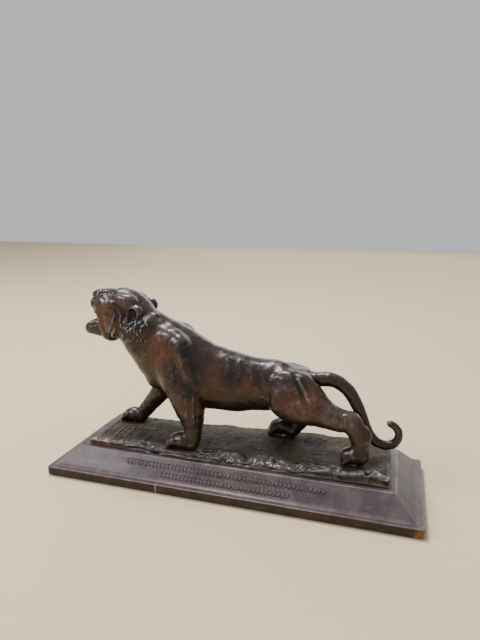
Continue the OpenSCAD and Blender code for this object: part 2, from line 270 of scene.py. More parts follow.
print("tiger: head")
head = {
    "skull": [(-43.6, 0, 66.2, 7.6), (-48.6, 0, 69.2, 7.9)],
    "bridge": [(-50, 0, 71.6, 5.9), (-53.5, 0, 72.4, 4.3), (-57.5, 0, 72.6, 3.9), (-60.8, 0, 72.9, 3.3),
               (-62.3, 0, 73.0, 2.4)],
    "jaw": [(-48, 0, 60.5, 6.0), (-55, 0, 59.6, 4.5), (-61, 0, 59.0, 3.9), (-64.6, 0, 58.9, 3.4),
            (-66.6, 0, 58.4, 2.9)],
    "cheekWall": [(-59.6, -3.4, 68.4, 2.4), (-57.8, -4.4, 64.6, 2.6), (-57.4, -3.8, 60.4, 2.6)],
    "cheekBack": [(-56.5, -4.2, 68.4, 2.6), (-54, -5.0, 64.6, 2.8), (-54, -4.4, 60.4, 2.8)],
    "bothSides": [
        ((-61.0, -2.4, 70.0), (3.9, 2.6, 3.2), (0, 14, 0)),  # lip pad
        ((-59.0, -3.0, 67.6), (3.4, 2.2, 2.6), (0, 30, 0)),  # hanging lip
        ((-57.5, -4.0, 69.8), (4.5, 2.4, 3.8), (0, 0, 0)),  # side of the muzzle
        ((-52.5, -5.2, 69.2), (5.4, 2.4, 3.8), (0, 8, 0)),  # cheekbone
        ((-46.4, -4.5, 72.0), (5.8, 2.8, 3.4), (0, 12, 0)),  # temple
        ((-50.0, -5.4, 62.5), (5.4, 3.0, 6.2), (0, 20, 0)),  # jowl
        ((-42.0, -6.4, 60), (6.2, 3.6, 7), (0, 25, 0)),  # ruff
    ],
    "chinTuft": ((-56.5, 0, 56.8), (4.2, 5.0, 3.6)),
    "core": ((-51.5, 0, 65.5), (4.6, 5, 6)),
    "throat": [(-71, 0, 66.4, 2.2), (-64, 0, 65.8, 2.3), (-57.5, 0, 64.6, 2.0)],
    "ear": ((-41.4, -6.5, 67.6), (3.1, 1.9, 3.6), (-16, 24, 0)),
    "rightEar": ((-40.2, 6.6, 69.3), (3.0, 1.7, 3.0), (16, 24, 0)),  # turned up more than the left one
    "earCup": ((-42.6, -8.6, 67.1), (2.7, 2.9, 3.1), (-16, 24, 0)),
    "eyeball": ((-52.2, -4.35, 73.9), 1.15),
    "teeth": [((-63.2, -2.0, 67.8), (-63.4, -2.1, 65.6), 0.6, 0.2),
              ((-64.6, -1.8, 61.0), (-64.3, -1.9, 63.0), 0.6, 0.2)],
    "tongue": [(-63.4, 0, 61.4, 1.6), (-60.5, 0, 62.0, 1.9), (-57.5, 0, 62.2, 1.9)],
    "nose": ((-63.3, 0, 73.8), (1.5, 2.1, 1.4)),
}
limbs += addLimb(head["skull"], 0.92)
limbs += addLimb(head["bridge"], 0.92)
limbs += addLimb(head["jaw"], 1.0)
for stations in (head["cheekWall"], head["cheekBack"]):
    limbs += addLimb(stations) + addLimb(mirrored(stations))
limbs += list(bothWays(head["bothSides"]))
limbs += [addBall(*head["chinTuft"]), addBall(*head["core"])]
body = fuse(joinAs("tigerCast", limbs), tiger["limbVoxel"], 6)

# toes, ears, nose and tongue go on once the head and limbs are soft; mouth and ears are cut after that
extras = [body]
for x, y, z, length in tiger["toes"]:
    for i in (-1.5, -0.5, 0.5, 1.5):
        back = length * (0.75 if abs(i) > 1 else 1)
        tip = x + 0.9 * (abs(i) > 1)
        extras += addLimb([(tip + back, y + 1.65 * i, z + 3.6, 1.5), (tip + 0.9, y + 1.75 * i, z + 2.3, 1.45),
                           (tip, y + 1.75 * i, z + 1.2, 1.2)])
extras += list(bothWays([head["ear"]]))
extras += [addBall(*head["rightEar"]), addBall(*head["nose"])]
body = fuse(joinAs("tigerCast", extras), tiger["limbVoxel"] * 0.8, 3)
carve(body, joinAs("throatCut", addLimb(head["throat"], 1.15)))
for side in (1, -1):
    (x, y, z), radii, tilt = head["earCup"]
    carve(body, joinAs("earCut", [addBall((x, side * y, z), radii, (side * tilt[0], tilt[1], side * tilt[2]))]))

for (x, y, z), r, depth in (tiger["tailSeat"], tiger["tenonSocket"]):
    carve(body, joinAs("seatCut", [addTaper((x, y, z), (x + depth, y, z), r, r)]))
for x, y, z in tiger["soles"]:
    r, depth = tiger["screwHole"]
    drill(body, x, y, z - 2, z + depth, r)

details = [body]
details += addLimb(head["tongue"], 1.2)
for side in (1, -1):
    (x, y, z), r = head["eyeball"]
    details += [addBall((x, side * y, z), r)]
    for a, b, ra, rb in head["teeth"]:
        details += addLimb([(a[0], side * a[1], a[2], ra), (b[0], side * b[1], b[2], rb)])
body = fuse(joinAs("tigerCast", details), tiger["fineVoxel"], 3)


# Strokes are ridges and creases pressed into a piece along a line.


def meshArrays(piece):
    count = len(piece.data.vertices)
    places, normals = np.empty(count * 3), np.empty(count * 3)
    piece.data.vertices.foreach_get("co", places)
    piece.data.vertices.foreach_get("normal", normals)
    return places.reshape(-1, 3), normals.reshape(-1, 3)


def setPlaces(piece, places):
    piece.data.vertices.foreach_set("co", places.ravel())
    piece.data.update()


def treeOf(piece):
    return BVHTree.FromPolygons([v.co[:] for v in piece.data.vertices], [p.vertices[:] for p in piece.data.polygons])


def finePath(points, gap):
    points = np.array(points, float)
    steps = np.r_[0, np.cumsum(np.linalg.norm(np.diff(points, axis=0), axis=1))]
    at = np.linspace(0, steps[-1], max(2, int(steps[-1] / gap) + 1)) if steps[-1] > 0 else np.array([0.0])
    return np.stack([np.interp(at, steps, points[:, k]) for k in range(points.shape[1])], 1)


def cast(tree, path, side):
    sign = -1 if side == "left" else 1
    hits = []
    for x, z in path:
        place, facing, _, _ = tree.ray_cast(Vector((x, sign * 60, z)), Vector((0, -sign, 0)))
        if place is not None:
            hits.append([*place, *facing])
    hits = np.array(hits).reshape(-1, 6)
    for _ in range(40):  # the line follows the surface without its small steps
        if len(hits) > 2:
            hits[1:-1] = (hits[:-2] + 2 * hits[1:-1] + hits[2:]) / 4
    return hits


def press(places, normals, line, width, height, fade=0.3):
    if not len(line):
        return
    path, facing = line[:, :3], line[:, 3:]
    low, high = path.min(0) - width, path.max(0) + width
    near = np.flatnonzero(((places > low) & (places < high)).all(1))
    if not len(near):
        return
    gaps = np.linalg.norm(places[near, None] - path[None], axis=2)
    closest = gaps.argmin(1)
    distance = gaps[np.arange(len(near)), closest] / width
    along = closest / max(1, len(path) - 1)
    ends = np.ones(len(near))
    if len(path) > 2 and fade:
        ends = np.clip(np.minimum(along, 1 - along) / fade, 0, 1)
        ends = 0.1 + 0.9 * ends * ends * (3 - 2 * ends)
    way = facing[closest]
    same = np.clip(2 * (normals[near] * way).sum(1), 0, 1)
    weight = np.clip(1 - distance ** 2, 0, 1) ** 2 * ends * same
    way = way + 0.5 * normals[near]
    way /= np.linalg.norm(way, axis=1)[:, None]
    places[near] += way * (height * weight)[:, None]


def strokes(piece, rows, sides, smoothing=0):
    tree = treeOf(piece)
    places, normals = meshArrays(piece)
    for width, height, points in rows:
        for side in sides:
            press(places, normals, cast(tree, finePath(points, width * 0.12), side), width, height)
    setPlaces(piece, places)
    if smoothing:
        applyModifier(piece, "SMOOTH", factor=0.5, iterations=smoothing)


print("tiger: strokes")
headStrokes = [  # width, height, (x, z) points on each side of the head
    (2.3, -0.8, [(-53.4, 74.6), (-51.6, 74.4)]),  # eye socket
    (1.0, 0.55, [(-54.4, 75.8), (-52.4, 76.4), (-49.8, 75.9)]),  # brow
    (0.8, -0.4, [(-55.2, 73.4), (-52.6, 72.3), (-50.0, 72.9)]),  # below the eye
    (1.0, -0.45, [(-54.6, 75.2), (-58.4, 74.9), (-61.6, 74.4)]),  # side of the nose bridge
    (0.6, -0.4, [(-57.4, 76.4), (-56.5, 74.8), (-56.0, 73.4)]),
    (0.6, 0.3, [(-58.6, 76.0), (-57.8, 74.8), (-57.2, 73.4)]),
    (0.6, -0.35, [(-59.8, 76.2), (-59.0, 74.8), (-58.6, 73.6)]),
    (0.9, 0.5, [(-58.8, 72.6), (-56.6, 71.8), (-55.4, 70.2)]),  # snarl folds on the cheek
    (0.9, 0.5, [(-56.6, 73.2), (-54.4, 72.2), (-53.2, 70.6)]),
    (0.9, 0.5, [(-54.4, 73.0), (-52.2, 72.2), (-51.2, 70.8)]),
    (0.5, -0.35, [(-57.7, 73.0), (-55.6, 71.9), (-54.3, 70.2)]),
    (0.5, -0.35, [(-55.5, 73.2), (-53.3, 72.2), (-52.2, 70.6)]),
    (0.9, -0.25, [(-58.2, 67.4), (-56.2, 68.2), (-53.8, 69.2), (-51.0, 69.6), (-49.2, 68.6)]),  # under the cheekbone
    (1.0, -0.4, [(-51.0, 71.4), (-48.4, 70.6), (-46.6, 68.8), (-45.8, 66.6), (-46.0, 64.6)]),  # before the ear
    (1.0, 0.6, [(-49.4, 69.2), (-48.0, 67.6), (-47.4, 66.2), (-47.6, 64.6), (-48.2, 62.8)]),
    (0.8, 0.45, [(-50.6, 68.2), (-50.4, 66.4), (-50.9, 64.4), (-51.8, 62.4)]),
    (0.6, -0.35, [(-49.6, 67.8), (-49.0, 66.0), (-49.4, 64.0), (-50.2, 61.8)]),
    (3.6, -0.4, [(-53.6, 65.4), (-54.0, 62.6)]),  # hollow of the cheek
    (0.8, -0.5, [(-50.6, 62.4), (-51.8, 60.2), (-53.4, 58.4), (-54.8, 56.6)]),
    (0.9, 0.5, [(-49.6, 61.6), (-50.8, 59.2), (-52.4, 57.2), (-53.8, 55.6)]),
    (0.7, -0.35, [(-67.4, 60.2), (-64.4, 60.4), (-61.0, 61.2), (-58.0, 62.4)]),  # lower lip
    (0.8, 0.35, [(-66.8, 61.0), (-64.4, 61.4), (-61.4, 62.4)]),
    (0.7, -0.3, [(-66.6, 70.2), (-64.6, 68.6), (-62.0, 67.8), (-59.6, 67.8)]),  # upper lip's edge
    (0.8, 0.4, [(-66.2, 69.0), (-64.4, 67.6), (-62.2, 66.9), (-60.0, 66.6)]),
    (1.1, -0.5, [(-64.0, 73.4), (-63.0, 72.6)]),  # nostril
]
bodyStrokes = [  # left side only
    (2.2, 0.7, [(-20.6, 56.0), (-18.8, 50.4), (-17.8, 47.2), (-16.2, 44.0), (-14.3, 40.6)]),  # triceps
    (1.8, -0.5, [(-17.2, 55.0), (-15.4, 50.2), (-14.0, 46.0), (-12.6, 42.6), (-11.4, 39.6)]),
    (1.5, -0.3, [(-23.4, 54.0), (-22.4, 50.0), (-21.4, 46.2), (-19.6, 42.6)]),
    (1.0, 0.35, [(-14.4, 40.4), (-13.6, 36), (-13.5, 30), (-13.6, 23.6)]),  # forearm
    (1.0, -0.2, [(-15.6, 38), (-15.4, 32), (-15.2, 26)]),
    (2.2, 0.5, [(22.2, 48.7), (24.2, 46.5), (26.1, 44.2), (27.3, 42.0), (28.2, 39.4), (29.4, 37.5), (31.1, 36.3),
                (33.2, 35.1), (35.9, 33.9)]),
    (1.4, -0.45, [(24.0, 48.6), (25.6, 46.8), (27.6, 43.4), (29.0, 40.6), (30.4, 38.6), (32.6, 37.1), (35.4, 35.8)]),
    (1.3, 0.45, [(26.6, 47.6), (28.4, 44.6), (30.2, 41.6), (32.0, 39.4), (34.6, 37.8)]),
    (1.2, -0.4, [(28.8, 46.4), (30.8, 43.6), (32.6, 41.2), (34.4, 39.6)]),
    (2.4, -0.4, [(9.6, 48.2), (11.7, 43.2), (14.9, 39.4), (17.3, 35.6)]),  # flank before the thigh
    (1.5, 0.16, [(-1.7, 52.0), (-1.3, 48.0), (-1.6, 43.0)]),
    (1.5, 0.16, [(2.2, 51.6), (3.3, 48.6), (3.4, 43.0)]),
    (1.5, -0.16, [(0.4, 51.0), (0.9, 47.0), (0.7, 42.0)]),
    (1.5, 0.14, [(7.2, 50.2), (8.1, 47.2), (8.9, 44.1)]),
    (1.1, 0.45, [(43.6, 33.6), (45.6, 35.0), (47.4, 34.2), (48.2, 31.6), (47.6, 29.4)]),  # hock
    (0.8, -0.35, [(45.4, 32.6), (46.6, 31.4), (46.2, 29.6)]),
    (0.9, 0.35, [(12.6, 36.4), (13.6, 38.4), (15.2, 38.0), (15.2, 35.8)]),  # groin
    (1.6, 0.45, [(-34.4, 66.4), (-32.6, 67.0), (-31.0, 66.4)]),  # knob on the neck
    (1.3, 0.4, [(-29.6, 67.0), (-25.0, 65.2), (-20.6, 62.8), (-16.4, 60.2), (-10.8, 56.6), (-4.6, 53.8)]),  # back line
    (1.1, 0.3, [(34.0, 43.6), (38.2, 39.8), (41.6, 36.8), (44.6, 35.6)]),  # shank's upper edge
]
ruff = {
    "tufts": 64,
    "x": (-48, -36),
    "z": (57.5, 65),
    "lean": (-100, -40),  # degrees, down and back from the cheek
    "bend": (-35, 35),
    "length": (1.4, 2.8),
    "width": (0.55, 0.95),
    "heights": (-0.36, 0.26, 0.36),
}
furStrokes = []
dice = random.Random(11)
for _ in range(ruff["tufts"]):
    x, z = dice.uniform(*ruff["x"]), dice.uniform(*ruff["z"])
    if z > 66 + (x + 42) * 0.4 or z < 50 - (x + 35) * 0.6:  # the ruff ends below the ear and behind the jaw
        continue
    lean, length = math.radians(dice.uniform(*ruff["lean"])), dice.uniform(*ruff["length"])
    bend = math.radians(dice.choice(ruff["bend"]))
    middle = (x + 0.5 * length * math.cos(lean), z + 0.5 * length * math.sin(lean))
    tip = (middle[0] + 0.5 * length * math.cos(lean + bend), middle[1] + 0.5 * length * math.sin(lean + bend))
    furStrokes.append((dice.uniform(*ruff["width"]), dice.choice(ruff["heights"]), [(x, z), middle, tip]))
strokes(body, headStrokes, ("left", "right"))
strokes(body, furStrokes, ("left", "right"))
strokes(body, bodyStrokes, ("left",), 2)


def flatSoles(piece, rows):
    places, _ = meshArrays(piece)
    for x, y, z, length in rows:
        under = (abs(places[:, 0] - x - 6) < 10) & (abs(places[:, 1] - y) < 6) & (places[:, 2] < z)
        places[under, 2] = z
    setPlaces(piece, places)


flatSoles(body, tiger["toes"])


def bumpy(piece, rows):
    places, normals = meshArrays(piece)
    for scale, height in rows:
        lumps = np.array([noise.noise(Vector(p) / scale) for p in places])
        places += normals * (lumps * height)[:, None]
    setPlaces(piece, places)


bumpy(body, [(5.0, 0.22), (2.4, 0.12), (1.2, 0.05)])
applyModifier(body, "DECIMATE", ratio=min(1, tiger["triangles"] / (2 * len(body.data.polygons))))


def keepValues(piece, name, values):
    piece.data.attributes.new(name, "FLOAT", "POINT").data.foreach_set("value", values.astype(np.float32))


def reliefOf(piece, rounds, name):
    # how far each point stands over the piece's own softened shape, kept for the patina
    places, normals = meshArrays(piece)
    ends = np.empty(len(piece.data.edges) * 2, int)
    piece.data.edges.foreach_get("vertices", ends)
    a, b = ends[::2], ends[1::2]
    count = np.bincount(a, minlength=len(places)) + np.bincount(b, minlength=len(places))
    soft = places.copy()
    for _ in range(rounds):
        total = np.stack([np.bincount(a, soft[b, k], len(places)) + np.bincount(b, soft[a, k], len(places))
                          for k in range(3)], 1)
        soft = 0.4 * soft + 0.6 * total / count[:, None]
    keepValues(piece, name, ((places - soft) * normals).sum(1))


def figureValues(piece):
    reliefOf(piece, 6, "fineRelief")
    reliefOf(piece, 60, "broadRelief")
    # painted shade: a mask that darkens downward-facing surfaces in the patina
    keepValues(piece, "underside", np.clip(-1.4 * meshArrays(piece)[1][:, 2] - 0.1, 0, 1))
    bpy.ops.object.shade_smooth()


figureValues(body)


def fitBox(piece, node, slack):
    # eases a piece into the outer sizes its node has in the design
    places, _ = meshArrays(piece)
    for k in range(3):
        low, high = (corner[k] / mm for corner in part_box(node))
        least, most = places[:, k].min(), places[:, k].max()
        places[:, k] = low + slack + (places[:, k] - least) * (high - low - 2 * slack) / (most - least)
    setPlaces(piece, places)


def pressUnder(piece, node, band):
    # what stands over the design's height is pressed back under it, within a band below the top
    places, _ = meshArrays(piece)
    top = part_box(node)[1][2] / mm
    over = places[:, 2] > top - band
    places[over, 2] = top - band + (places[over, 2] - top + band) * band / (max(places[:, 2].max(), top) - top + band)
    setPlaces(piece, places)


def finishPiece(piece, slot, *nodes):
    deselectAll()
    piece.select_set(True)
    bpy.context.view_layer.objects.active = piece
    piece.data.transform(Matrix.Scale(mm, 4))
    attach(piece, "root")
    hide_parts(*nodes)
    print(piece.name, len(piece.data.polygons), "faces")
    return piece


pressUnder(body, "tiger", 2)
finishPiece(body, "figure_bronze", "tiger")

print("tail")
tail = {
    "root": [(28, 0, 44.6), (33, 0, 44.6)],
    "tenon": [(23.6, 0, 44.6), (28.5, 0, 44.6), 1.48],
    "path": [(33, 0, 44.6), (37.5, -0.2, 45.2), (41.5, -0.6, 44.4), (45, -1, 42), (47.6, -1, 38.4), (49.8, -1, 34),
             (51.6, -1, 29.6), (53.6, -1, 25.4), (56.6, -1, 22.2), (60.6, -1, 21.2), (63.8, -1, 23),
             (64.8, -1, 26.2), (63.4, -1, 29), (61.4, -1, 30.2)],
    "rootRadius": 3.0,
    "tipRadius": 1.35,
    "voxel": 0.28,
}


def softPath(points, steps):
    points = [Vector(p) for p in points]
    ends = [2 * points[0] - points[1]] + points + [2 * points[-1] - points[-2]]
    line = []
    for a, b, c, d in zip(ends, ends[1:], ends[2:], ends[3:]):
        for k in range(steps):
            t = k / steps
            line.append(0.5 * (2 * b + (c - a) * t + (2 * a - 5 * b + 4 * c - d) * t * t
                               + (3 * b - a - 3 * c + d) * t ** 3))
    return line + [points[-1]]


line = softPath(tail["path"], 4)
stations = []
for i, p in enumerate(line):
    left = 1 - i / (len(line) - 1)
    stations.append((*p, tail["tipRadius"] + (tail["rootRadius"] - tail["tipRadius"]) * left ** 1.1))
made = addLimb(stations)
made[0].scale.x = 0.6  # the root stays flat behind
made.append(addTaper(*tail["root"], tail["rootRadius"], tail["rootRadius"]))
made.append(addTaper(*tail["tenon"][:2], tail["tenon"][2], tail["tenon"][2]))
tailPiece = fuse(joinAs("tailCast", made), tail["voxel"], 4)
bumpy(tailPiece, [(2.6, 0.16), (1.2, 0.08)])
fitBox(tailPiece, "tail", 0.02)
figureValues(tailPiece)
finishPiece(tailPiece, "figure_bronze", "tail")

print("ground")
ground = {
    "deck": 11.4,
    "half": (61.3, 15.75),
    "middle": 0.9,
    "thickness": 3.0,
    "least": 0.6,
    "rise": 0.9,  # towards the tail end, over half the length
    "fall": 1.3,  # down to the near side and to the far head corner
    "bump": 0.5,
    "voxel": 0.42,
    "seatDrop": 0.03,
    "screwHole": 1.65,
    # heights of the modelling on top, and of the broken roll along the near side
    "swell": 0.45,
    "grain": 0.2,
    "brush": 0.35,
    "ridge": 0.3,
    "fold": 0.35,
    "notch": 0.9,
    "notchAt": (42.5, -15),
}


def easeIn(t):
    t = np.clip(t, 0, 1)
    return t * t * (3 - 2 * t)


def lumps(places, scale, seed=0):
    stretch = Vector(scale if hasattr(scale, "__len__") else (scale,) * 3)
    shift = Vector((seed * 17.3, seed * 5.1, seed * 9.7))
    return np.array([noise.noise(Vector((p[0] / stretch.x, p[1] / stretch.y, p[2] / stretch.z)) + shift)
                     for p in places])


def landHeight(x, y):
    turn = math.pi / 180
    u, v = x / ground["half"][0], y / ground["half"][1]
    high = np.maximum(ground["least"], ground["thickness"] + ground["rise"] * u
                      - ground["fall"] * easeIn((-v - 0.5) / 0.5) * easeIn((0.75 - abs(u)) / 0.3)
                      - ground["fall"] * easeIn((v - 0.35) / 0.6) * easeIn((0.4 - u) / 0.9))
    high = high + ground["bump"] * np.minimum(1, high / 2.6) * (
        np.sin((7.6 * x + 40) * turn) * np.cos(6 * y * turn)
        + 0.5 * np.sin((19 * x + 4 * y) * turn) * np.sin((11 * y + 60) * turn))
    under = np.zeros_like(high)
    for sx, sy, sz in tiger["soles"]:
        near = 1 - easeIn((np.hypot((x - sx + 1.5) / 1.6, y - sy) - 4.4) / 2.8)
        high = high * (1 - near) + (sz - ground["deck"] - ground["seatDrop"]) * near
        under = np.maximum(under, near)
    return high, under


(gx, gy), deck, thickness = ground["half"], ground["deck"], ground["thickness"]
bpy.ops.mesh.primitive_cube_add(size=1, location=(ground["middle"], 0, deck + thickness / 2))
slab = bpy.context.object
slab.scale = (2 * gx, 2 * gy, thickness)
slab = fuse(joinAs("groundCast", [slab]), ground["voxel"])
places, normals = meshArrays(slab)
x, y = places[:, 0], places[:, 1]
up = (places[:, 2] - deck) / thickness
high, under = landHeight(x, y)
toEnd, toSide = gx - abs(x - ground["middle"]), gy - abs(y)
edge = np.minimum(toEnd, toSide)  # distance from the slab's border
near = easeIn(1 - edge / 3.4)
front = easeIn((-y - 6) / 7)  # the side towards the tiger's left is broken rock
middle = easeIn((46 - abs(x)) / 14)
rough = 1 - under
swell = lumps(places, (9, 7, 9), 5)
lip = lumps(places, (6.5, 9, 50), 1)
jag = lumps(places, (3.6, 7, 60), 7)
fold = 1 - abs(lumps(places, (4.2, 6.5, 4.0), 2)) * 3.4
grain = lumps(places, 1.5, 3)
ridges = 1 - abs(lumps(places, (7, 1.5, 1.5), 9)) * 3.2  # run along the rolled edge
rolling = easeIn((-y - 9.5) / 2.5) * rough
brush = lumps(places, (1.3, 9, 4), 4) * easeIn((-x - 25) / 20)  # grooves across the head end
z = deck + up * (high + rough * (ground["swell"] * swell + ground["grain"] * grain + ground["brush"] * brush))
z += up * rolling * (ground["ridge"] * ridges + ground["fold"] * fold - 0.25)
z += up * near * (0.3 + 0.7 * rough) * front * (0.34 * fold - 0.25 * middle - 0.9 * abs(lip) + 0.3 * jag)
# the near face steps in and out, and a notch splits it by the left hind paw
notchX, notchY = ground["notchAt"]
notch = np.exp(-((x - notchX - 0.25 * (y - notchY)) / 1.1) ** 2)
z -= up * near * front * ground["notch"] * notch
border = easeIn(1 - edge / 1.6)
shelf = easeIn((up - 0.30 - 0.25 * lip) / 0.2)
push = front * (0.3 * fold * up - shelf * middle * (0.35 + 0.9 * np.clip(lip + 0.35 * jag, 0, 1)) - 0.5 * notch
                + 0.25 * (1 - shelf)) + 0.35 * lumps(places, (4, 4, 3), 6) - (1 - front) * 0.5 * up
outward = np.stack([np.where(toEnd < toSide, np.sign(x - ground["middle"]), 0),
                    np.where(toEnd < toSide, 0, np.sign(y)), np.zeros(len(x))], 1)
places[:, 2] = z
places += outward * (border * push * np.clip(up * 6, 0.25, 1))[:, None]
low, high = (np.array(corner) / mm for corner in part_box("ground"))
places = np.clip(places, (low[0], low[1], deck), high)
places[up < 0.02, 2] = deck
setPlaces(slab, places)
for sx, sy, _ in tiger["soles"]:
    drill(slab, sx, sy, deck - 2, deck + 9, ground["screwHole"])
reliefOf(slab, 5, "fineRelief")
reliefOf(slab, 40, "broadRelief")
places, normals = meshArrays(slab)
# upward-facing near edge: made glossier, and painted lighter as a highlight in the ground's finish
rolled = easeIn((-places[:, 1] - 9.5) / 4) * np.clip(normals[:, 2] * 2, 0, 1)
keepValues(slab, "rolledEdge", rolled)
bpy.ops.object.shade_smooth()
finishPiece(slab, "ground_bronze", "ground")

print("plinth")
plinth = {
    "low": 0.6,
    "skirt": 4.0,
    "deck": 11.4,
    "half": (75, 26.25),
    "step": 2.2,
    "run": (7.8, 6.1),
    "wall": 3.0,
    "corner": 1.0,
    "edge": 0.3,
    "fillet": 1.5,
}


def steppedBlock(name, halfX, halfY, low, skirt, top, topSize):
    # a rectangular band, a flat step round its top, then four sloping faces
    bpy.ops.mesh.primitive_cube_add(size=1, location=(0, 0, (low + skirt) / 2))
    block = bpy.context.object
    block.scale = (2 * halfX, 2 * halfY, skirt - low)
    block = joinAs(name, [block])
    bpy.ops.object.mode_set(mode="EDIT")
    bpy.ops.mesh.select_mode(type="FACE")
    bpy.ops.mesh.select_all(action="DESELECT")
    bpy.ops.object.mode_set(mode="OBJECT")
    for face in block.data.polygons:
        face.select = face.normal.z > 0.9
    bpy.ops.object.mode_set(mode="EDIT")
    bpy.ops.mesh.inset(thickness=plinth["step"])
    bpy.ops.mesh.extrude_region_move(TRANSFORM_OT_translate={"value": (0, 0, top - skirt)})
    bpy.ops.transform.resize(value=(topSize[0] / (2 * (halfX - plinth["step"])),
                                    topSize[1] / (2 * (halfY - plinth["step"])), 1),
                             center_override=(0, 0, top))
    bpy.ops.object.mode_set(mode="OBJECT")
    return block


halfX, halfY = plinth["half"]
topX, topY = halfX - plinth["step"] - plinth["run"][0], halfY - plinth["step"] - plinth["run"][1]
wall = plinth["wall"]
base = steppedBlock("plinthCast", halfX, halfY, plinth["low"], plinth["skirt"], plinth["deck"], (2 * topX, 2 * topY))


def roundEdges(piece, width, segments, wanted):
    # bevels only the edges whose two ends pass the test
    weights = "bevel_weight_edge"
    layer = piece.data.attributes.get(weights) or piece.data.attributes.new(weights, "FLOAT", "EDGE")
    for line in piece.data.edges:
        a, b = (piece.data.vertices[i].co for i in line.vertices)
        layer.data[line.index].value = float(wanted(a, b))
    applyModifier(piece, "BEVEL", width=width, segments=segments, limit_method="WEIGHT")
    layer = piece.data.attributes.get(weights)
    if layer:
        piece.data.attributes.remove(layer)


def uprightEdge(a, b):
    return abs(a.x - b.x) < 0.01 and abs(a.y - b.y) < 0.01


def slopeFoot(a, b):
    inset = (halfX - plinth["step"] + 0.01, halfY - plinth["step"] + 0.01)
    return all(abs(p.z - plinth["skirt"]) < 0.01 and abs(p.x) < inset[0] and abs(p.y) < inset[1] for p in (a, b))


roundEdges(base, plinth["corner"], 8, uprightEdge)
roundEdges(base, plinth["fillet"], 5, slopeFoot)
applyModifier(base, "BEVEL", width=plinth["edge"], segments=3, limit_method="ANGLE", angle_limit=math.radians(25))
hollow = steppedBlock("hollowCut", halfX - wall, halfY - wall, plinth["low"] - 1, plinth["skirt"] - wall / 2,
                      plinth["deck"] - wall, (2 * (topX - wall), 2 * (topY - wall)))
carve(base, hollow)
for sx, sy, _ in tiger["soles"]:
    drill(base, sx, sy, 0, 20, ground["screwHole"])

ornament = {
    "rows": [(-41.3, 41.0, 6.4), (-25.0, 27.2, 2.9)],  # along X from, to, and height up the slope
    "pitch": 1.6,
    "leaf": (1.05, 0.36, 0.32),
    "lift": 0.62,
    "tilt": 32,
    "bead": 0.36,
    "petals": 6,
    "rosette": 0.72,
    "stem": 0.22,
    "voxel": 0.13,
}
slope = Vector((0, plinth["run"][1], plinth["deck"] - plinth["skirt"])).normalized()
outOf = Vector((1, 0, 0)).cross(slope)
slopeTurn = Matrix((Vector((1, 0, 0)), slope, outOf)).transposed()
foot = Vector((0, -(halfY - plinth["step"]), plinth["skirt"]))
print("plinth: laurel bands")


def onSlope(along, up, out=0.0):
    return foot + Vector((along, 0, 0)) + slope * up + outOf * out


vines = []
for start, stop, middle in ornament["rows"]:  # two laurel branches that meet at a rosette
    centre, count = (start + stop) / 2, int((stop - start) / ornament["pitch"] / 2)
    vines.append(addTaper(onSlope(start, middle, 0.02), onSlope(stop, middle, 0.02), *[ornament["stem"]] * 2))
    for side in (1, -1):
        for i in range(1, count + 1):
            for turn in (1, -1):
                leaf = addBall(onSlope(centre + side * ornament["pitch"] * i, middle + turn * ornament["lift"]), 1)
                lean = -side * turn * math.radians(ornament["tilt"])
                leaf.rotation_euler = (slopeTurn @ Matrix.Rotation(lean, 3, "Z")).to_euler()
                leaf.scale = ornament["leaf"]
                vines.append(leaf)
    for i in range(ornament["petals"] + 1):  # the last bead sits in the middle
        turn = i * 2 * math.pi / ornament["petals"]
        away = ornament["rosette"] if i < ornament["petals"] else 0
        place = onSlope(centre + away * math.cos(turn), middle + away * math.sin(turn), 0.1)
        vines.append(addBall(place, ornament["bead"]))
vine = fuse(joinAs("vineCast", vines), ornament["voxel"], 2)
applyModifier(vine, "DECIMATE", ratio=0.45)
applyModifier(base, "BOOLEAN", operation="UNION", object=vine, solver="MANIFOLD")
bpy.data.objects.remove(vine)
deselectAll()
base.select_set(True)
bpy.context.view_layer.objects.active = base
bpy.ops.object.shade_smooth_by_angle(angle=math.radians(32))
finishPiece(base, "plinth_bronze", "plinth")

print("fasteners and felt")
fasteners = {
    "reach": 3.0,  # into the paw, from its sole
    "under": 7.8,
    "shank": 1.38,
    "pitch": 0.6,
    "head": (2.56, 1.66),
    "recess": (1.1, 1.0),
    "washer": (3.36, 1.46, 0.56),
}


def upright(x, y, low, high, r, sides=64):
    bpy.ops.mesh.primitive_cylinder_add(vertices=sides, radius=r, depth=high - low, location=(x, y, (low + high) / 2))
    return bpy.context.object


